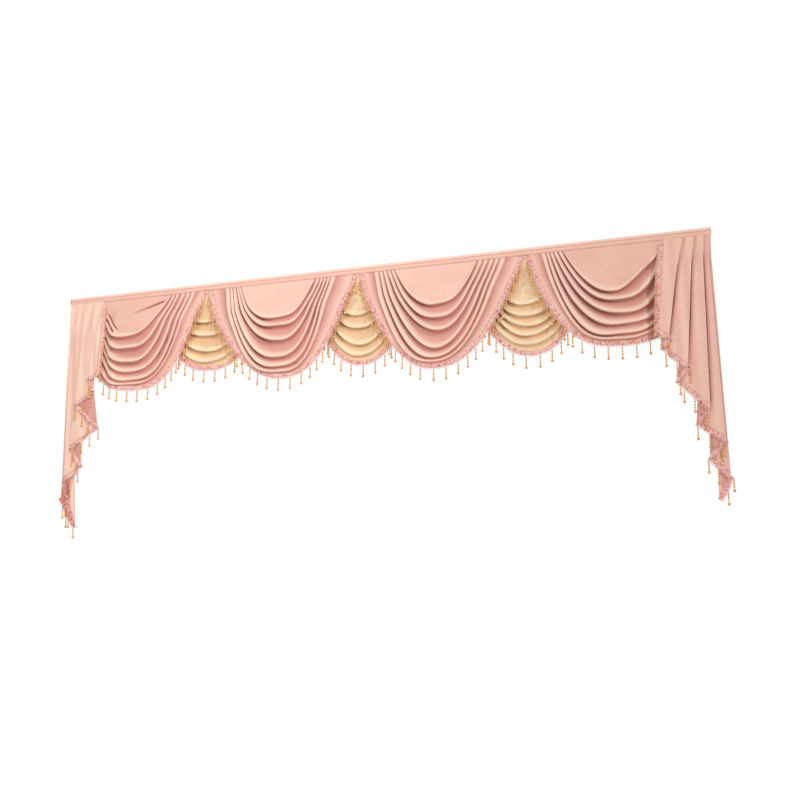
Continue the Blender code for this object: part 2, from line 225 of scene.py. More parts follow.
def hanging_line(left, left_power, low_x, low_z, right_power, right, spans, waver):
    """Points of one fold line, evenly spaced along it, with its ends tucked in the heading."""
    share = np.linspace(-1, 1, LINE_SAMPLES)
    left_half = share < 0
    x = np.where(left_half, low_x + (low_x - left) * share, low_x + (right - low_x) * share)
    power = np.where(left_half, left_power, right_power)
    z = low_z + (TUCKED_Z - low_z) * np.abs(share) ** power
    z = z + WAVER_HEIGHT * np.sin(WAVER_TURNS * share + waver) * (1 - share ** 4)
    length = np.concatenate(([0], np.cumsum(np.hypot(np.diff(x), np.diff(z)))))
    below = np.nonzero(z < BELOW_BAND_Z)[0]
    inside = np.linspace(length[below[0]], length[below[-1]], spans - 1)
    places = np.concatenate(([0], inside, [length[-1]]))
    return np.stack((np.interp(places, length, x), np.interp(places, length, z)), axis=1)


def draped(lines, depth_at, fullness_at, fold_depth, strength, top_rows, plain_tone):
    """Points of a swag, row by row, and the tone of its folds: a painted highlight of 1 on a roll, painted
    shade of 0 in the crease below it.
    """
    spans = len(lines[0]) - 1
    left, right = lines[0][0][0] + SIDE_INSET, lines[0][-1][0] - SIDE_INSET
    across = np.linspace(left, right, spans + 1)
    tucked = np.stack((across, np.full(spans + 1, TUCKED_Z)), axis=1)
    below = np.stack((across, np.full(spans + 1, BELOW_BAND_Z)), axis=1)
    below[0] = (left - SIDE_FLARE, TUCKED_Z)
    below[-1] = (right + SIDE_FLARE, TUCKED_Z)

    spacing = [np.linalg.norm(second - first, axis=1) for first, second in zip(lines, lines[1:])]
    heights = []
    for number in range(len(lines) - 1):
        room = spacing[number - 1] if number else spacing[0]
        after = spacing[number] if number < len(lines) - 2 else room
        phase = np.linspace(0, FOLD_UNEVEN_TURNS, spans + 1) + FOLD_UNEVEN_SHIFT * number
        uneven = 1 + FOLD_UNEVEN * np.sin(phase)
        heights.append(np.minimum((room + after) / 2 * FOLD_SHARE, fold_depth) * uneven)

    plain = np.full(spans + 1, plain_tone)
    rows = [(tucked, np.zeros(spans + 1), plain)]
    for step in range(top_rows + 1):
        share = step / top_rows
        # The plain cloth brightens to a painted highlight on the first roll.
        out = ramp((share - (1 - FIRST_ROLL_SHARE)) / FIRST_ROLL_SHARE)
        rows.append((below + (lines[0] - below) * share, heights[0] * out, plain + (1 - plain_tone) * out))
    line_strength = np.interp(np.linspace(0, 1, spans + 1), *zip(*strength))
    for number in range(len(lines) - 2):
        way = lines[number + 1] - lines[number]
        apart = spacing[number] + HAIR
        roll = np.clip(ROLL_WIDTH / apart, 1 - ROLL_FROM, ROLL_MOST)
        crease_width = CREASE_WIDTH + CREASE_WIDENS * line_strength
        dropped = np.clip(crease_width / apart, CREASE_TO, CREASE_MOST)
        for down, out, tone in FOLD_PROFILE:
            if down <= CREASE_TO:
                shifted = down * dropped / CREASE_TO
            elif down < ROLL_FROM:
                shifted = dropped + (down - CREASE_TO) * (1 - roll - dropped) / (ROLL_FROM - CREASE_TO)
            else:
                shifted = 1 - (1 - down) * roll / (1 - ROLL_FROM)
            part = ramp(down)
            height = heights[number] * (1 - part) + heights[number + 1] * part
            # Where the crease is weak, its painted shade is paler.
            paler = max(0, SOFT_CREASE - tone) + CREASE_PALER * (tone < RECESS_TONE)
            creased = tone + paler * (1 - line_strength)
            rows.append((lines[number] + way * shifted[:, None], height * out, creased))
        # Each crest has the full painted highlight.
        rows.append((lines[number + 1], heights[number + 1], np.ones(spans + 1)))
    way = lines[-1] - lines[-2]
    # The hem's painted shade is paler too where the crease is weak.
    for down, out, tone in HEM_PROFILE:
        creased = tone + max(0, SOFT_CREASE - tone) * (1 - line_strength)
        rows.append((lines[-2] + way * down, heights[-2] * out, creased))

    points, tones = [], []
    for flat, height, tone in rows:
        x, z = flat[:, 0], flat[:, 1]
        y = -depth_at(x, z) - height * fullness_at(x, z)
        points.append(np.stack((x, y, z), axis=1))
        tones.append(tone)
    return np.array(points), np.array(tones)


def cloth_sheet(name, points, tones):
    """A thin cloth through rows of points, with its lie in metres as UV and the tone of its folds, their
    painted light and shade.
    """
    rows, columns = points.shape[:2]
    mesh = bpy.data.meshes.new(name)
    index = np.arange(rows * columns).reshape(rows, columns)
    quads = np.stack((index[:-1, :-1], index[1:, :-1], index[1:, 1:], index[:-1, 1:]), axis=-1)
    mesh.from_pydata(points.reshape(-1, 3).tolist(), [], quads.reshape(-1, 4).tolist())
    across = np.linalg.norm(np.diff(points, axis=1), axis=2).mean(axis=0)
    down = np.linalg.norm(np.diff(points, axis=0), axis=2).mean(axis=1)
    u = np.concatenate(([0], np.cumsum(across)))
    v = np.concatenate(([0], np.cumsum(down)))
    lie = np.stack(np.meshgrid(u, v), axis=-1).reshape(-1, 2)
    corners = np.empty(len(mesh.loops), dtype=np.int32)
    mesh.loops.foreach_get("vertex_index", corners)
    mesh.uv_layers.new(name="lie").data.foreach_set("uv", lie[corners].ravel())
    mesh.attributes.new("tone", "FLOAT", "POINT").data.foreach_set("value", tones.ravel())
    mesh.shade_smooth()
    piece = bpy.data.objects.new(name, mesh)
    bpy.context.scene.collection.objects.link(piece)
    thickness = piece.modifiers.new("thickness", "SOLIDIFY")
    thickness.thickness = CLOTH_THICK
    thickness.offset = 0
    return piece


class Value:
    """A shader socket that takes part in sums, so that a pattern reads as an expression."""

    def __init__(self, finish, socket):
        self.finish, self.socket = finish, socket

    def sum_with(self, operation, first, second):
        return self.finish.node("ShaderNodeMath", {"operation": operation}, {0: first, 1: second})

    def __add__(self, other):
        return self.sum_with("ADD", self, other)

    def __sub__(self, other):
        return self.sum_with("SUBTRACT", self, other)

    def __mul__(self, other):
        return self.sum_with("MULTIPLY", self, other)

    def __rsub__(self, other):
        return self.sum_with("SUBTRACT", other, self)

    __radd__ = __add__
    __rmul__ = __mul__


class Finish:
    """A material whose nodes all come from one method."""

    def __init__(self, name, **fixed):
        self.material = bpy.data.materials.new(name)
        self.material.use_nodes = True
        self.tree = self.material.node_tree
        self.surface = self.tree.nodes["Principled BSDF"]
        for socket, value in fixed.items():
            self.surface.inputs[socket.replace("_", " ")].default_value = value

    def node(self, kind, settings, sockets, output=0):
        made = self.tree.nodes.new(kind)
        for name, value in settings.items():
            if name == "stops":
                for number, (place, colour) in enumerate(value):
                    stops = made.color_ramp.elements
                    stop = stops[number] if number < len(stops) else stops.new(place)
                    stop.position, stop.color = place, (*colour, 1)
            else:
                setattr(made, name, value)
        for name, value in sockets.items():
            if isinstance(value, Value):
                self.tree.links.new(value.socket, made.inputs[name])
            else:
                made.inputs[name].default_value = value
        return Value(self, made.outputs[output])

    def feed(self, socket, value):
        self.tree.links.new(value.socket, self.surface.inputs[socket])

    def blend(self, share, first, second):
        """A colour between two, by a share of the second."""
        first, second = ((*c, 1) if isinstance(c, tuple) else c for c in (first, second))
        return self.node("ShaderNodeMix", {"data_type": "RGBA"}, {0: share, 6: first, 7: second}, 2)


# The satin's weave is far finer than its slubs and creases. A wave texture has about 3.2 bands for
# each unit of its scale.
WEAVE_PITCH = 0.0016
WAVE_BANDS = 3.2
# Tones at which the painted shade line, the painted recess shade, the crest and the painted highlight rim
# stand.
SATIN_STOPS = (0.02, 0.20, 0.80, 0.98)
CLOUD_TONE = 0.20
FADED_MEAN = 0.10
FADED_SLUB = 0.35
SATIN_ROUGH = 0.42
SLUB_ROUGH = 0.12
WEAVE_RELIEF = 0.04
SLUB_RELIEF = 0.10
CREASE_RELIEF = 0.8


def satin(name, colours, crumple):
    """Soft satin curtain cloth, with painted highlights on the rolls of its folds and painted shade in its
    creases and recesses.
    """
    made = Finish(name, Roughness=0.5, Sheen_Weight=0.08, Sheen_Roughness=0.4)
    tone = made.node("ShaderNodeAttribute", {"attribute_name": "tone"}, {}, 2)
    lie = made.node("ShaderNodeUVMap", {"uv_map": "lie"}, {})
    place = made.node("ShaderNodeTexCoord", {}, {}, 3)
    cloud = made.node("ShaderNodeTexNoise", {}, {"Vector": place, "Scale": 9.0, "Detail": 3.0})
    slub = made.node("ShaderNodeTexNoise", {}, {"Vector": lie, "Scale": 160.0, "Detail": 4.0})
    crease = made.node("ShaderNodeTexNoise", {}, {"Vector": place, "Scale": 26.0, "Detail": 5.0})
    # The tone carries the folds' painted light and shade. The cloud adds random mottling, and the crumples
    # are painted lighter where they rise and darker in their dips.
    depth = tone + (cloud - 0.5) * CLOUD_TONE + (crease - 0.5) * crumple
    stops = tuple(zip(SATIN_STOPS, (colours[part] for part in ("line", "painted_recess_shade", "crest", "painted_highlight_rim"))))
    colour = made.node("ShaderNodeValToRGB", {"stops": stops}, {0: depth})
    faded = made.blend((slub - 0.5) * FADED_SLUB + FADED_MEAN, colour, colours["crest"])
    made.feed("Base Color", faded)
    made.feed("Roughness", slub * SLUB_ROUGH + SATIN_ROUGH)
    warp, weft = (
        made.node(
            "ShaderNodeTexWave", {"bands_direction": direction},
            {"Vector": lie, "Scale": 1 / WEAVE_PITCH / WAVE_BANDS, "Distortion": 0.6},
        )
        for direction in ("X", "Y")
    )
    relief = (warp + weft) * WEAVE_RELIEF + slub * SLUB_RELIEF + crease * CREASE_RELIEF
    bump = made.node("ShaderNodeBump", {}, {"Strength": 0.35, "Distance": 0.004, "Height": relief})
    made.feed("Normal", bump)
    return made.material


# The cream cloth's colours by tone: painted shade for the crease line and the recess, the cloth itself on the
# crest, and a painted highlight on the rim.
CREAM = {
    "painted_highlight_rim": (1.0, 0.86, 0.62), "crest": (0.98, 0.76, 0.49), "painted_recess_shade": (0.79, 0.50, 0.28),
    "line": (0.09, 0.028, 0.012),
}
# How strongly the small crumples are painted lighter where they rise and darker in their dips.
CREAM_CRUMPLE = 0.16
cream_satin = satin("cream_satin", CREAM, CREAM_CRUMPLE)


def under_depth(x, z):
    return UNDER_DEPTH + UNDER_FORWARD * ramp((BELOW_BAND_Z - z) / UNDER_FORWARD_DROP)


def under_fullness(x, z):
    return ramp((BELOW_BAND_Z - z) / UNDER_FOLD_FULL_DROP)


cloths = {}
for name, table in UNDERSWAGS.items():
    lines = []
    for number, (half, low_x, low_z, power) in enumerate(table):
        lines.append(hanging_line(
            low_x - half, power, low_x, low_z, power, low_x + half, UNDER_SPANS, number * UNDER_WAVER,
        ))
    points, tones = draped(
        lines, under_depth, under_fullness, UNDER_FOLD_DEPTH, UNDER_STRENGTH, UNDER_TOP_ROWS, UNDER_PLAIN,
    )
    x, z = points[..., 0], points[..., 2]
    rumpled = np.prod([np.sin(x * across + z * down) for across, down in RUMPLE_TURNS], axis=0)
    points[..., 1] -= RUMPLE * rumpled * under_fullness(x, z)
    # Painted light and shade on the dents.
    tones += RUMPLE_TONE * rumpled * ramp((tones - RUMPLE_FROM_TONE) / RUMPLE_OVER_TONE)
    piece = cloth_sheet(name + "_cloth", points, tones)
    piece.data.materials.append(cream_satin)
    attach(piece, "root")
    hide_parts(name)
    cloths[name] = {"piece": piece, "edge": points[-1], "inner": points[-2]}


# Swags: pink satin cloths in front, each drawn up at both sides into six hanging folds.
# Their sides fall flat to the braid, and the two end ones are pressed back under the tails.
SWAG_DEPTH = 0.00455
SWAG_FORWARD = 0.042
SWAG_FORWARD_DROP = 0.15
SWAG_FOLD_DEPTH = 0.026
SWAG_FOLD_FULL_DROP = 0.035
SWAG_WAVER = 1.7
PRESSED_FROM_X = 1.22
PRESSED_OVER = 0.06
PRESSED_SHARE = 0.60
PRESSED_FULL_DROP = 0.16
# What differs from cloth to cloth: spans across it, rows in its plain upper part and their tone,
# higher on the two middle swags as painted light, and how strong its creases and their painted shade are.
SWAG_CLOTHS = {
    "swag_1": {
        "spans": 190, "top_rows": 64, "plain": 0.67,
        "strength": ((0.0, 1.0), (0.20, 1.0), (0.34, 0.5), (0.46, 0.1), (0.64, 0.1), (0.76, 0.5), (1.0, 0.3)),
    },
    "swag_2": {
        "spans": 140, "top_rows": 26, "plain": 0.78,
        "strength": (
            (0.0, 0.3), (0.14, 0.9), (0.22, 1.1), (0.38, 1.1),
            (0.50, 0.3), (0.66, 0.1), (0.82, 0.7), (1.0, 0.4),
        ),
    },
    "swag_3": {
        "spans": 140, "top_rows": 26, "plain": 0.79,
        "strength": (
            (0.0, 0.3), (0.12, 0.9), (0.20, 1.1), (0.36, 1.0),
            (0.50, 0.3), (0.66, 0.1), (0.82, 0.6), (1.0, 0.4),
        ),
    },
    "swag_4": {
        "spans": 140, "top_rows": 26, "plain": 0.66,
        "strength": ((0.0, 0.6), (0.14, 1.0), (0.40, 1.0), (0.54, 0.3), (0.74, 0.1), (0.92, 0.8), (1.0, 1.0)),
    },
}
# Fold lines from the top down, the last one the hem: left end and power, lowest x and z, right power and end.
SWAGS = {
    "swag_1": (
        (-1.330, 4.0, -1.130, -0.225, 2.4, -0.940),
        (-1.345, 3.5, -1.120, -0.285, 2.6, -0.920),
        (-1.355, 3.2, -1.120, -0.350, 2.6, -0.900),
        (-1.370, 3.0, -1.120, -0.395, 3.0, -0.870),
        (-1.385, 3.3, -1.110, -0.436, 3.0, -0.845),
        (-1.400, 4.0, -1.110, -0.458, 2.8, -0.820),
        (-1.475, 3.2, -1.100, -0.470, 2.8, -0.762),
    ),
    "swag_2": (
        (-0.580, 3.1, -0.363, -0.204, 3.2, -0.210),
        (-0.595, 2.8, -0.360, -0.245, 3.0, -0.185),
        (-0.605, 2.4, -0.360, -0.311, 2.7, -0.168),
        (-0.620, 2.7, -0.360, -0.385, 2.8, -0.152),
        (-0.635, 2.8, -0.360, -0.428, 3.0, -0.136),
        (-0.650, 3.0, -0.360, -0.456, 3.1, -0.120),
        (-0.742, 2.1, -0.365, -0.468, 2.6, -0.014),
    ),
    "swag_3": (
        (0.165, 2.1, 0.367, -0.217, 3.0, 0.540),
        (0.150, 2.2, 0.378, -0.277, 2.4, 0.565),
        (0.133, 2.0, 0.378, -0.331, 2.2, 0.590),
        (0.115, 2.0, 0.368, -0.405, 2.1, 0.615),
        (0.097, 2.2, 0.358, -0.446, 2.2, 0.637),
        (0.080, 2.6, 0.349, -0.466, 2.3, 0.660),
        (0.010, 2.1, 0.345, -0.478, 2.4, 0.737),
    ),
    "swag_4": (
        (0.905, 2.3, 1.126, -0.232, 1.6, 1.330),
        (0.885, 2.2, 1.126, -0.272, 2.9, 1.336),
        (0.867, 2.3, 1.140, -0.326, 3.6, 1.344),
        (0.852, 2.5, 1.126, -0.370, 4.8, 1.350),
        (0.838, 2.8, 1.110, -0.412, 4.4, 1.368),
        (0.822, 2.8, 1.106, -0.434, 4.0, 1.388),
        (0.759, 2.7, 1.120, -0.446, 3.4, 1.475),
    ),
}
# The pink cloth's colours by tone: painted shade for the crease line and the recess, the cloth itself on the
# crest, and a painted highlight on the rim.
PINK = {
    "painted_highlight_rim": (1.0, 0.76, 0.63), "crest": (0.95, 0.63, 0.52), "painted_recess_shade": (0.62, 0.255, 0.22),
    "line": (0.14, 0.016, 0.008),
}
PINK_CRUMPLE = 0.08
pink_satin = satin("pink_satin", PINK, PINK_CRUMPLE)

# Creases in the plain upper parts. The first swag has a small looped fold below the tail's braid and
# a furrow, and the cloth pulls softly beside the folds of all three. Both ends, width, height, and tone:
# painted shade along the crease where negative, a painted highlight where positive.
CREASES = {
    "swag_1": (
        (-1.295, -0.101, -1.208, -0.202, 0.0055, 0.010, 0.30),
        (-1.303, -0.106, -1.216, -0.210, 0.0034, -0.003, -1.25),
        (-1.286, -0.094, -1.198, -0.196, 0.0034, -0.002, -1.10),
        (-1.135, -0.112, -0.960, -0.056, 0.0070, -0.0005, -0.50),
        (-1.070, -0.094, -0.955, -0.055, 0.0040, 0.0, -0.30),
        (-0.800, -0.036, -0.905, -0.300, 0.0110, -0.001, -0.15),
    ),
    "swag_2": (
        (-0.210, -0.062, -0.262, -0.140, 0.0060, -0.002, -0.45),
        (-0.062, -0.036, -0.120, -0.260, 0.0110, -0.001, -0.15),
        (-0.690, -0.036, -0.640, -0.240, 0.0120, -0.001, -0.12),
    ),
    "swag_3": (
        (0.548, -0.046, 0.490, -0.120, 0.0055, -0.002, -0.40),
        (0.695, -0.036, 0.650, -0.260, 0.0110, -0.001, -0.15),
        (0.060, -0.036, 0.110, -0.240, 0.0120, -0.001, -0.12),
    ),
}


def swag_depth(x, z):
    pressed = 1 - PRESSED_SHARE * ramp((np.abs(x) - PRESSED_FROM_X) / PRESSED_OVER)
    return SWAG_DEPTH + SWAG_FORWARD * pressed * ramp((BELOW_BAND_Z - z) / SWAG_FORWARD_DROP)


def swag_fullness(x, z):
    under_tail = ramp((np.abs(x) - PRESSED_FROM_X) / PRESSED_OVER)
    return ramp((BELOW_BAND_Z - z) / (SWAG_FOLD_FULL_DROP + PRESSED_FULL_DROP * under_tail))


for name, table in SWAGS.items():
    cut = SWAG_CLOTHS[name]
    lines = [hanging_line(*row, cut["spans"], number * SWAG_WAVER) for number, row in enumerate(table)]
    points, tones = draped(
        lines, swag_depth, swag_fullness, SWAG_FOLD_DEPTH, cut["strength"], cut["top_rows"], cut["plain"],
    )
    plain = np.zeros(len(points))
    plain[:cut["top_rows"]] = 1
    for from_x, from_z, to_x, to_z, width, out, tone in CREASES.get(name, ()):
        start = np.array((from_x, from_z))
        way = np.array((to_x, to_z)) - start
        flat = points[..., [0, 2]] - start
        share = np.clip(flat @ way / (way @ way), 0, 1)
        away = np.linalg.norm(flat - share[..., None] * way, axis=-1)
        strength = np.exp(-((away / width) ** 2)) * (1 - (2 * share - 1) ** 4) * plain[:, None]
        points[..., 1] -= out * strength
        # Painted shade along each crease, and a painted highlight on the loop's roll.
        tones += tone * strength
    piece = cloth_sheet(name + "_cloth", points, tones)
    piece.data.materials.append(pink_satin)
    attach(piece, "root")
    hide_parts(name)
    cloths[name] = {"piece": piece, "edge": points[-1], "inner": points[-2]}


# Tails: a pink satin cascade at each end, one cloth cut on a slant and pleated back and forth.
# Its layers lie side by side where they are sewn in the heading, and one behind another lower down.
TAIL_DEPTH = 0.00645
TAIL_REAR = 0.030
TAIL_STEP = 0.0050
TAIL_SPREAD_DROP = 0.18
TAIL_ROUND_DROP = 0.06
TAIL_ROWS = 46
TAIL_ROW_POWER = 1.15
TAIL_SMOOTHING = 7
TAIL_BELLY = 0.0010
TAIL_SAG = 0.003
PLEAT_HALF = 0.0006
TURN_ROOM = 1.6
TAIL_WAVE = 0.003
TAIL_WAVE_TURNS = (95, 5)
TAIL_WAVE_DROP = 0.3
TAIL_BRAID_ROW = 4
# Edges of the pleats, inner to outer: x in the heading, x at the hem, z at the hem.
TAILS = {
    "tail_left": (
        (-1.312, -1.291, -0.395),
        (-1.370, -1.338, -0.413),
        (-1.376, -1.314, -0.470),
        (-1.420, -1.418, -0.531),
        (-1.426, -1.294, -0.640),
        (-1.462, -1.444, -0.735),
        (-1.468, -1.380, -0.818),
        (-1.484, -1.482, -0.887),
        (-1.490, -1.414, -1.096),
        (-1.497, -1.497, -0.968),
    ),
    "tail_right": (
        (1.312, 1.278, -0.412),
        (1.385, 1.317, -0.446),
        (1.391, 1.288, -0.478),
        (1.428, 1.381, -0.563),
        (1.434, 1.338, -0.611),
        (1.464, 1.453, -0.725),
        (1.470, 1.400, -0.781),
        (1.481, 1.503, -0.855),
        (1.486, 1.440, -0.917),
        (1.492, 1.510, -0.994),
        (1.497, 1.462, -1.084),
    ),
}
# How far the layers move in towards the middle as they come forward, per metre; how dark the painted
# shade line is where a layer goes behind the one before; the tone of the plain cloth, higher on the left
# tail as painted light. The left tail's tip turns its reverse out, and its last layers have painted tones
# for their outer and inner part: painted shade outside, and a painted highlight on the inner fold of layer 7.
TAIL_CLOTHS = {
    "tail_left": {"lean": 0.73, "line": 0.18, "plain": 0.94, "tip": {7: (0.10, 0.92), 8: (0.10, 0.10)}},
    "tail_right": {"lean": 0.0, "line": 1.0, "plain": 0.78, "tip": {}},
}
# Where the left tail's tip takes its painted tones, and where the inner strip with its painted highlight
# begins.
TIP_TURNS_Z = -0.84
TIP_TURNS_OVER = 0.10
TIP_STRIP_X = -1.446
TIP_STRIP_OVER = 0.012
# The returns show their reverse side near the hem, darkened with painted shade.
REVERSE_SHADE_TONE = 0.34
REVERSE_REACH = 0.20
REVERSE_OVER = 0.10
# Shade beside the edge that covers a layer: share of it, distance where it ends, width that it fades over.
LINE_SHADES = ((0.35, 0.0005, 0.006), (0.65, 0.002, 0.020))
# The outer layers get a weaker painted shade line. It fades out below the covering layer's hem and where the
# layer is hidden behind it.
OUTER_LAYERS = 3
OUTER_LINE = 0.25
COVERED_REACH = 0.010
COVERED_OVER = 0.030
HIDDEN_FROM = 0.010
HIDDEN_OVER = 0.030
STREAK_TONE = 0.07
STREAK_TURNS = (130, 3)
STREAK_MEAN = -0.04


def rounded(points, steps):
    """A smooth curve through points, with the given number of steps between each two."""
    before = np.concatenate((points[:1], points[:-1]))
    after = np.concatenate((points[1:], points[-1:]))
    slope = (after - before) / 2
    room = np.minimum(
        np.linalg.norm(points - before, axis=1), np.linalg.norm(after - points, axis=1),
    ) * TURN_ROOM
    room[[0, -1]] = np.inf
    slope *= np.minimum(1, room / (np.linalg.norm(slope, axis=1) + 1e-9))[:, None]
    curve = []
    for number in range(len(points) - 1):
        for step in range(steps):
            t = step / steps
            curve.append(
                points[number] * (2 * t ** 3 - 3 * t ** 2 + 1)
                + slope[number] * (t ** 3 - 2 * t ** 2 + t)
                + points[number + 1] * (3 * t ** 2 - 2 * t ** 3)
                + slope[number + 1] * (t ** 3 - t ** 2)
            )
    curve.append(points[-1])
    return np.array(curve)


def layer_tone(x, z, number, edges, outward, cloth):
    """Tone of a place on a tail: painted shade where its layer goes behind the one before and on the reverse
    side of the returns, with painted tones at the left tail's tip.
    """
    top_x, low_x, low_z = edges[max(number - 1, 0)]
    edge_x = top_x + (low_x - top_x) * max(0.0, (BELOW_BAND_Z - z) / (BELOW_BAND_Z - low_z))
    away = (x - edge_x) * outward
    line = cloth["line"] * (1 if number < len(edges) - 1 - OUTER_LAYERS else OUTER_LINE)
    covered = line * ramp((z - low_z + COVERED_REACH) / COVERED_OVER) * (number > 0)
    streak = math.sin(x * STREAK_TURNS[0] + z * STREAK_TURNS[1])
    plain = cloth["plain"] + STREAK_TONE * streak + STREAK_MEAN
    shaded = plain * sum(part * ramp((away - start) / over) for part, start, over in LINE_SHADES)
    hidden = ramp((-away - HIDDEN_FROM) / HIDDEN_OVER)
    lit = plain + (shaded - plain) * covered * (1 - hidden)
    reverse_shade_share = (number % 2) * ramp((low_z + REVERSE_REACH - z) / REVERSE_OVER)
    face = lit + (REVERSE_SHADE_TONE - lit) * reverse_shade_share
    # The left tail's tip: painted shade outside, a painted highlight on the inner strip.
    outer_tone, inner_tone = cloth["tip"].get(number, (face, face))
    strip = ramp((x - TIP_STRIP_X) / TIP_STRIP_OVER)
    turned = ramp((TIP_TURNS_Z - z) / TIP_TURNS_OVER)
    return face + (outer_tone + (inner_tone - outer_tone) * strip - face) * turned


def pleated(edges, outward, cloth):
    """Points of a tail, row by row, and their tone."""
    layers = len(edges) - 1
    depths = [TAIL_REAR + TAIL_STEP * (layers - 1 - layer) for layer in range(layers)]
    points, tones = [], []
    for index in range(TAIL_ROWS + 1):
        row = []
        share = (max(0, index - 1) / (TAIL_ROWS - 1)) ** TAIL_ROW_POWER
        for number, (top_x, low_x, low_z) in enumerate(edges):
            z = BELOW_BAND_Z + (low_z - BELOW_BAND_Z) * share if index else TUCKED_Z
            drop = max(0.0, BELOW_BAND_Z - z)
            spread, rounding = ramp(drop / TAIL_SPREAD_DROP), ramp(drop / TAIL_ROUND_DROP)
            lean = outward * cloth["lean"] * (share - spread)
            x = top_x + (low_x - top_x) * share
            arriving = outward if number % 2 else -outward
            near, far = depths[max(number - 1, 0)], depths[min(number, layers - 1)]
            turn = ((-1, near), (0, (near + far) / 2), (1, far))
            if number == 0:
                turn = ((0, far),)
            if number == layers:
                turn = ((0, near),)
            for side, depth in turn:
                flat_x = side * PLEAT_HALF * outward
                round_x = -abs(side) * TAIL_STEP / 2 * arriving
                turn_x = x + flat_x + (round_x - flat_x) * rounding
                forward = depth - TAIL_DEPTH
                row.append((turn_x + lean * forward, -TAIL_DEPTH - forward * spread, z, number - (side < 0)))
            if number < layers:
                next_top, next_low, next_z = edges[number + 1]
                middle_x = (x + next_top + (next_low - next_top) * share) / 2
                hem_z = (low_z + next_z) / 2
                middle_z = BELOW_BAND_Z + (hem_z - BELOW_BAND_Z) * share if index else TUCKED_Z
                forward = depths[number] + TAIL_BELLY - TAIL_DEPTH
                row.append((
                    middle_x + lean * forward, -TAIL_DEPTH - forward * spread,
                    middle_z - TAIL_SAG * share, number,
                ))
        curve = rounded(np.array(row), TAIL_SMOOTHING)
        drop = np.maximum(0, BELOW_BAND_Z - curve[:, 2])
        wave = np.sin(curve[:, 0] * TAIL_WAVE_TURNS[0] + curve[:, 2] * TAIL_WAVE_TURNS[1])
        curve[:, 1] -= TAIL_WAVE * wave * ramp(drop / TAIL_WAVE_DROP)
        points.append(curve[:, :3])
        tones.append([
            layer_tone(x, z, int(round(layer)), edges, outward, cloth) for x, y, z, layer in curve
        ])
    return np.array(points), np.array(tones, dtype=float)


for name, table in TAILS.items():
    outward = 1 if table[0][0] > 0 else -1
    points, tones = pleated(table, outward, TAIL_CLOTHS[name])
    piece = cloth_sheet(name + "_cloth", points, tones)
    piece.data.materials.append(pink_satin)
    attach(piece, "root")
    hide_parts(name)
    cloths[name] = {
        "piece": piece,
        "edge": np.concatenate((points[TAIL_BRAID_ROW:, 0], points[-1, 1:])),
        "inner": np.concatenate((points[TAIL_BRAID_ROW:, 1], points[-2, 1:])),
    }


# Heading: one pink satin strip folded over the top edge, with the tops of the cloths sewn in it.
# A line of stitching runs along it a finger's width below the fold.
BAND_DEPTH = 0.0091
BAND_WIDTH = 3.0
BAND_STEPS = 300
BAND_INSET = 0.0007
BAND_BACK_Z = -0.016
BAND_FOLD_Z = -0.004
BAND_FOLD_RISE = 0.0033
BAND_FOLD_STEPS = 6
SEAM_Z = -0.0135
SEAM_WIDE = 0.0022
SEAM_DIP = 0.0016
BAND_FRONT_Z = (
    -0.008, -0.0105, -0.012, SEAM_Z, -0.015, -0.0165, -0.019, -0.023, -0.027, -0.0295, -HEADING_HEIGHT,
)
BAND_HEM_Z = -0.026
BAND_HEM_OVER = 0.006
BAND_HEM_TURN = 0.0030
# Waves along the strip: height, turns per metre along, turns per metre down, shift.
BAND_WAVES = ((0.0004, 41, 60, 0.0), (0.0003, 97, 0, 1.3))
# The band's tone: painted shade along the seam's dip, and painted light on its upper part above the seam.
BAND_TONE = 0.72
SEAM_PAINTED_SHADE = 0.46
BAND_TOP_PAINTED_LIGHT = 0.20

band_line = [(-BAND_INSET, z) for z in (-HEADING_HEIGHT, BAND_BACK_Z, BAND_FOLD_Z)]
for step in range(BAND_FOLD_STEPS + 1):
    angle = math.pi * step / BAND_FOLD_STEPS
    middle, reach = BAND_DEPTH / 2, BAND_DEPTH / 2 - BAND_INSET
    band_line.append((-middle + reach * math.cos(angle), BAND_FOLD_Z + BAND_FOLD_RISE * math.sin(angle)))
for z in BAND_FRONT_Z:
    dip = SEAM_DIP * math.exp(-(((z - SEAM_Z) / SEAM_WIDE) ** 2))
    turned_in = BAND_HEM_TURN * max(0.0, (BAND_HEM_Z - z) / BAND_HEM_OVER)
    band_line.append((-BAND_DEPTH + BAND_INSET + dip + turned_in, z))
band_points, band_tones = [], []
for y, z in band_line:
    x = np.linspace(-BAND_WIDTH / 2, BAND_WIDTH / 2, BAND_STEPS + 1)
    uneven = sum(height * np.sin(x * along + z * down + shift) for height, along, down, shift in BAND_WAVES)
    front = y < -BAND_DEPTH / 2
    band_points.append(np.stack((x, y - front * np.abs(uneven), np.full_like(x, z)), axis=1))
    # Painted shade along the seam and painted light above it.
    seam_shade = math.exp(-(((z - SEAM_Z) / SEAM_WIDE) ** 2)) if front else 0.0
    band_tones.append(np.full_like(x, BAND_TONE - SEAM_PAINTED_SHADE * seam_shade + BAND_TOP_PAINTED_LIGHT * (z > SEAM_Z)))
band = cloth_sheet("heading_band", np.array(band_points), np.array(band_tones))
band.data.materials.append(pink_satin)
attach(band, "root")
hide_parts("heading")


# Braid: pink gimp sewn along every hem and side edge. It is a flat woven tape with two cords
# that wind round a row of small knots on its face, a cord at each side and fine loops below.
HIDDEN_BRAID_FROM_X = 1.43
# How many points at each end of a cloth's edge have no braid, because they are in the heading.
BRAID_TRIM = {"swag": 1, "underswag": 5, "tail": 0}
BRAID_SEED = 7
TAPE_FORWARD = 0.0016
TAPE_FROM = -0.005
TAPE_TO = 0.013
TAPE_THICK = 0.0012
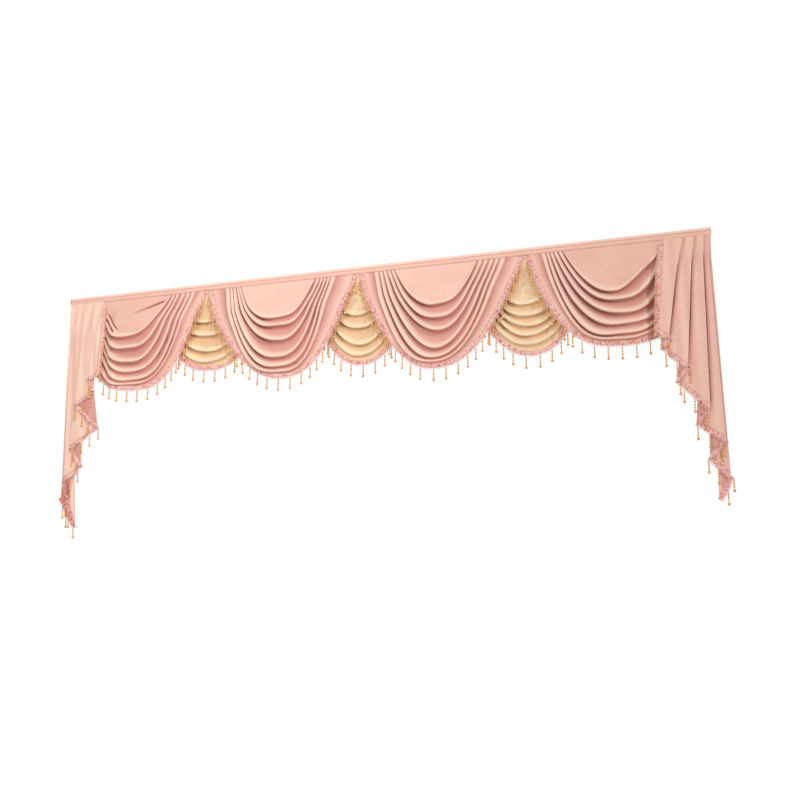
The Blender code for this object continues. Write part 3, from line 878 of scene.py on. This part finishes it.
# The tape's cross-section: reach out from the edge, lift from the tape's face.
TAPE_CORNERS = ((TAPE_FROM, 0), (TAPE_TO, 0), (TAPE_TO, -TAPE_THICK), (TAPE_FROM, -TAPE_THICK))
TAPE_STEPS = 4
TAPE_TONE = 0.35
# The cords: reach of their middle from the edge, swing to each side, phase, radius, lift.
CORDS = (
    (-0.0040, 0.0, 0.0, 0.0011, 0.0004),
    (0.0120, 0.0, 0.0, 0.0011, 0.0004),
    (0.0040, 0.0058, 0.0, 0.0014, 0.0008),
    (0.0040, 0.0058, math.pi, 0.0014, 0.0010),
)
CORD_PITCH = 0.0170
CORD_STEPS = 9
CORD_SIDES = 4
CORD_CROSSING = 0.0004
STRAIGHT_SKIP = 4
CORD_TONE = 0.72
CORD_TONE_SPREAD = 0.45
KNOT_AT = 0.0040
KNOT_STRAY = 0.0006
KNOT_WIDE = 0.0024
KNOT_SIZES = (0.8, 1.25)
KNOT_TALL = 0.0018
KNOT_SHOULDER = (0.75, 0.7)
KNOT_SIDES = 7
KNOT_TONES = (-0.2, 0.9)
LOOP_PITCH = 0.0085
LOOP_STEPS = 6
LOOP_REACH = 0.0065
LOOP_FULLNESS = 0.7
LOOP_TUCK = 0.001
LOOP_RADIUS = 0.0011
LOOP_TONE = 0.6
# The braid of the left tail's tip is darkened with painted shade, where it lies in shade on the tip's turned
# reverse.
TIP_FROM_Z = -0.90
TIP_OVER = 0.03
TIP_PAINTED_SHADE = 0.65
BRAID_BROWN = (0.66, 0.17, 0.12)
BRAID_PINK = (0.97, 0.42, 0.40)
BRAID_PALE = (1.0, 0.66, 0.63)
BRAID_GOLD = (1.0, 0.82, 0.72)
GIMP_MEAN = 0.34
GIMP_TONE_SHARE = 0.5
GIMP_FLECK_SHARE = 2.7
GIMP_ROUGH = 0.45
GRAIN_ROUGH = 0.2

gimp = Finish("pink_gimp", Roughness=0.6, Sheen_Weight=0.05)
gimp_place = gimp.node("ShaderNodeTexCoord", {}, {}, 3)
gimp_grain = gimp.node("ShaderNodeTexNoise", {}, {"Vector": gimp_place, "Scale": 240.0, "Detail": 2.0})
gimp_fleck = gimp.node("ShaderNodeTexNoise", {}, {"Vector": gimp_place, "Scale": 130.0, "Detail": 1.0})
gimp_tone = gimp.node("ShaderNodeAttribute", {"attribute_name": "tone"}, {}, 2)
gimp_colour = gimp.node(
    "ShaderNodeValToRGB",
    {"stops": ((0.0, BRAID_BROWN), (0.30, BRAID_PINK), (0.65, BRAID_PALE), (1.0, BRAID_GOLD))},
    {0: gimp_tone * GIMP_TONE_SHARE + (gimp_fleck - 0.5) * GIMP_FLECK_SHARE + GIMP_MEAN},
)
gimp.feed("Base Color", gimp_colour)
gimp.feed("Roughness", gimp_grain * GRAIN_ROUGH + GIMP_ROUGH)
gimp_bump = gimp.node("ShaderNodeBump", {}, {"Strength": 0.5, "Distance": 0.002, "Height": gimp_grain})
gimp.feed("Normal", gimp_bump)


def trimmed(name, cloth, trim):
    """A cloth's edge and the row of points next to it, without the ends that have no trimming."""
    skip = trim[name.split("_")[0]]
    ends = slice(skip, len(cloth["edge"]) - skip)
    return cloth["edge"][ends], cloth["inner"][ends]


def edge_frames(edge, inner, spacing):
    """Evenly spaced places along a cloth's edge: point, way out, way forward, way along."""
    length = np.concatenate(([0], np.cumsum(np.linalg.norm(np.diff(edge, axis=0), axis=1))))
    count = max(2, int(length[-1] / spacing))
    places = np.linspace(0, length[-1], count + 1)
    point = np.stack([np.interp(places, length, edge[:, axis]) for axis in range(3)], axis=1)
    next_in = np.stack([np.interp(places, length, inner[:, axis]) for axis in range(3)], axis=1)
    along = np.gradient(point, axis=0)
    along /= np.linalg.norm(along, axis=1)[:, None]
    out = point - next_in
    out -= along * np.sum(out * along, axis=1)[:, None]
    out /= np.linalg.norm(out, axis=1)[:, None]
    forward = np.cross(along, out)
    forward *= np.where(forward[:, 1] > 0, -1, 1)[:, None]
    return point, out, forward, along, places


def tube_faces(rings, sides):
    """Faces of a tube of rings of points, closed at both ends."""
    index = np.arange(rings * sides).reshape(rings, sides)
    beside = np.roll(index, -1, axis=1)
    quads = np.stack((index[:-1], beside[:-1], beside[1:], index[1:]), axis=-1).reshape(-1, 4)
    return quads.tolist() + [index[0][::-1].tolist(), index[-1].tolist()]


def tube(path, radius, sides, across):
    """Vertices and faces of a tube along a path; across is one direction square to it."""
    along = np.gradient(path, axis=0)
    along /= np.linalg.norm(along, axis=1)[:, None] + 1e-12
    first = across - along * np.sum(across * along, axis=1)[:, None]
    first /= np.linalg.norm(first, axis=1)[:, None] + 1e-12
    second = np.cross(along, first)
    angle = np.arange(sides) * 2 * math.pi / sides
    ring = first[:, None] * np.cos(angle)[None, :, None] + second[:, None] * np.sin(angle)[None, :, None]
    return (path[:, None] + ring * radius).reshape(-1, 3), tube_faces(len(path), sides)


def joined(name, shapes, material):
    """One mesh piece from many sets of vertices and faces."""
    vertices, faces, start = [], [], 0
    for points, shape_faces in shapes:
        vertices.append(points)
        faces.extend(tuple(int(corner) + start for corner in face) for face in shape_faces)
        start += len(points)
    mesh = bpy.data.meshes.new(name)
    mesh.from_pydata(np.concatenate(vertices).tolist(), [], faces)
    mesh.shade_smooth()
    mesh.materials.append(material)
    piece = bpy.data.objects.new(name, mesh)
    bpy.context.scene.collection.objects.link(piece)
    return piece


def knot(centre, across, along, forward, wide):
    """Vertices and faces of one flat round knot on the tape."""
    angle = np.arange(KNOT_SIDES) * 2 * math.pi / KNOT_SIDES
    ring = along[None] * np.cos(angle)[:, None] + across[None] * np.sin(angle)[:, None]
    shoulder_wide, shoulder_tall = KNOT_SHOULDER
    points = np.concatenate((
        centre + ring * wide,
        centre + ring * wide * shoulder_wide + forward * KNOT_TALL * shoulder_tall,
        [centre + forward * KNOT_TALL],
    ))
    faces = []
    for side in range(KNOT_SIDES):
        after = (side + 1) % KNOT_SIDES
        faces.append((side, after, KNOT_SIDES + after, KNOT_SIDES + side))
        faces.append((KNOT_SIDES + side, KNOT_SIDES + after, 2 * KNOT_SIDES))
    return points, faces


random = np.random.default_rng(BRAID_SEED)
for name, cloth in cloths.items():
    edge, inner = trimmed(name, cloth, BRAID_TRIM)
    if name.startswith("swag"):
        seen = np.abs(edge[:, 0]) < HIDDEN_BRAID_FROM_X
        edge, inner = edge[seen], inner[seen]
    shapes, tones = [], []

    point, out, forward, along, places = edge_frames(edge, inner, CORD_PITCH / TAPE_STEPS)
    front = point + forward * TAPE_FORWARD
    tape = np.stack([front + out * reach + forward * lift for reach, lift in TAPE_CORNERS], axis=1)
    shapes.append((tape.reshape(-1, 3), tube_faces(len(tape), len(TAPE_CORNERS))))
    tones.append(np.full(tape.shape[0] * tape.shape[1], TAPE_TONE))
    for place in range(1, len(point) - 1, 2):
        centre = front[place] + out[place] * (KNOT_AT + random.uniform(-KNOT_STRAY, KNOT_STRAY))
        wide = KNOT_WIDE * random.uniform(*KNOT_SIZES)
        shapes.append(knot(centre, out[place], along[place], forward[place], wide))
        tones.append(np.full(len(shapes[-1][0]), random.uniform(*KNOT_TONES)))

    point, out, forward, along, places = edge_frames(edge, inner, CORD_PITCH / CORD_STEPS)
    wound = 2 * math.pi * np.round(places[-1] / CORD_PITCH) / places[-1] * places
    for middle, swing, phase, radius, raised in CORDS:
        reach = middle + swing * np.sin(wound + phase)
        lift = TAPE_FORWARD + raised + CORD_CROSSING * np.cos(wound + phase) * (swing > 0)
        path = point + out * reach[:, None] + forward * lift[:, None]
        skip = 1 if swing else STRAIGHT_SKIP
        shapes.append(tube(path[::skip], radius, CORD_SIDES, forward[::skip]))
        tones.append(CORD_TONE + random.uniform(-CORD_TONE_SPREAD, CORD_TONE_SPREAD, len(shapes[-1][0])))

    point, out, forward, along, places = edge_frames(edge, inner, LOOP_PITCH / LOOP_STEPS)
    swing = LOOP_REACH * np.abs(np.sin(places / LOOP_PITCH * math.pi)) ** LOOP_FULLNESS
    path = point + forward * (TAPE_FORWARD - TAPE_THICK / 2) + out * (TAPE_TO - LOOP_TUCK + swing)[:, None]
    shapes.append(tube(path, LOOP_RADIUS, CORD_SIDES, forward))
    tones.append(np.full(len(shapes[-1][0]), LOOP_TONE))

    braid = joined(name + "_braid", shapes, gimp.material)
    tones = np.concatenate(tones)
    # Painted shade on the braid of the left tail's tip.
    if name == "tail_left":
        heights = np.concatenate([points[:, 2] for points, faces in shapes])
        tones -= TIP_PAINTED_SHADE * ramp((TIP_FROM_Z - heights) / TIP_OVER)
    braid.data.attributes.new("tone", "FLOAT", "POINT").data.foreach_set("value", tones)
    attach(braid, "root")
    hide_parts("trim_" + name)


# Bead strands: amber glass beads threaded below the braid, every six centimetres or so.
# Each has small round beads with seed beads between, and ends in a pear-shaped drop.
STRAND_TRIM = {"swag": 1, "underswag": 8, "tail": 0}
STRAND_PITCH = 0.054
STEEP_CLOSER = 1.5
EDGE_STEP = 0.002
THREAD_START = 0.008
STRAND_START = 0.016
STRAND_LENGTH = 0.055
STRAND_CLEAR = 0.002
TAIL_STRAND_CLEAR = 0.004
OVER_SWAG_Z = -0.36
THREAD_RADIUS = 0.0007
THREAD_SIDES = 3
BEADS = (
    {"down": 0.004, "wide": 0.0026, "tall": 0.0022},
    {"down": 0.0105, "wide": 0.0040, "tall": 0.0040},
    {"down": 0.0165, "wide": 0.0024, "tall": 0.0020},
    {"down": 0.0225, "wide": 0.0040, "tall": 0.0040},
    {"down": 0.0285, "wide": 0.0024, "tall": 0.0020},
    {"down": 0.0345, "wide": 0.0040, "tall": 0.0040},
    {"down": 0.0405, "wide": 0.0024, "tall": 0.0020},
    {"down": 0.0490, "wide": 0.0052, "tall": 0.0068},
)
AMBER = (0.70, 0.27, 0.05)
AMBER_PALE = (1.0, 0.66, 0.28)
AMBER_CLOUD = 1.6
AMBER_SHIFT = -0.3
AMBER_ROUGH = 0.10
CLOUD_ROUGH = 0.15
BEAD_SIDES = 8
BEAD_RINGS = 6
DROP_FULLER = 0.15

amber = Finish("amber_glass", Roughness=0.15, Coat_Weight=0.6, Coat_Roughness=0.05)
amber_place = amber.node("ShaderNodeTexCoord", {}, {}, 3)
amber_cloud = amber.node("ShaderNodeTexNoise", {}, {"Vector": amber_place, "Scale": 120.0, "Detail": 2.0})
amber.feed("Base Color", amber.blend(amber_cloud * AMBER_CLOUD + AMBER_SHIFT, AMBER, AMBER_PALE))
amber.feed("Roughness", amber_cloud * CLOUD_ROUGH + AMBER_ROUGH)


def bead(centre, wide, tall):
    """Vertices and faces of one bead, fuller below its middle."""
    points = [centre + np.array((0, 0, tall))]
    for ring in range(1, BEAD_RINGS):
        polar = math.pi * ring / BEAD_RINGS
        radius = wide * math.sin(polar) * (1 + DROP_FULLER * (1 - math.cos(polar)) * (tall > wide))
        for side in range(BEAD_SIDES):
            turn_by = 2 * math.pi * side / BEAD_SIDES
            points.append(centre + np.array((
                radius * math.cos(turn_by), radius * math.sin(turn_by), tall * math.cos(polar),
            )))
    points.append(centre - np.array((0, 0, tall)))
    faces = []
    last = len(points) - 1
    for side in range(BEAD_SIDES):
        after = (side + 1) % BEAD_SIDES
        faces.append((0, 1 + side, 1 + after))
        for ring in range(BEAD_RINGS - 2):
            row, below_row = 1 + ring * BEAD_SIDES, 1 + (ring + 1) * BEAD_SIDES
            faces.append((row + side, below_row + side, below_row + after, row + after))
        row = 1 + (BEAD_RINGS - 2) * BEAD_SIDES
        faces.append((row + side, last, row + after))
    return np.array(points), faces


for name, cloth in cloths.items():
    edge, inner = trimmed(name, cloth, STRAND_TRIM)
    point, out, forward, along, places = edge_frames(edge, inner, EDGE_STEP)
    depth_at = swag_depth if name.startswith("swag") else under_depth
    shapes = []
    closer = 1 if name.startswith("tail") else STEEP_CLOSER
    steps = np.linalg.norm(np.diff(point, axis=0) * (1, 1, closer), axis=1)
    spread = np.concatenate(([0], np.cumsum(steps)))
    for number in range(int(spread[-1] / STRAND_PITCH)):
        at = int(np.searchsorted(spread, (number + 0.5) * STRAND_PITCH))
        if name.startswith("swag") and abs(point[at][0]) > PRESSED_FROM_X + PRESSED_OVER:
            continue
        top = point[at] + out[at] * STRAND_START
        lean = 0.0
        if not name.startswith("tail"):
            cloth_depth = float(depth_at(top[0], top[2] - STRAND_LENGTH))
            lean = max(0.0, cloth_depth + top[1]) + STRAND_CLEAR
        elif top[2] > OVER_SWAG_Z:
            lean = TAIL_STRAND_CLEAR
        way = np.array((0, -lean, -STRAND_LENGTH))
        path = np.array([point[at] + out[at] * THREAD_START, top, top + way])
        shapes.append(tube(path, THREAD_RADIUS, THREAD_SIDES, np.array([[1.0, 0, 0]] * 3)))
        for one in BEADS:
            shapes.append(bead(top + way * (one["down"] / STRAND_LENGTH), one["wide"], one["tall"]))
    beads = joined(name + "_beads", shapes, amber.material)
    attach(beads, "root")
    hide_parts("trim_" + name)
    cloth["beads"] = beads


# The flat size that each cloth is cut to, for the maker.
CUTS = {
    "swag": {"flat": (0.90, 0.60), "area": 0.38},
    "underswag": {"flat": (0.66, 0.50), "area": 0.23},
    "tail": {"flat": (0.72, 1.05), "area": 0.42},
}
for name, cloth in cloths.items():
    cut = CUTS[name.split("_")[0]]
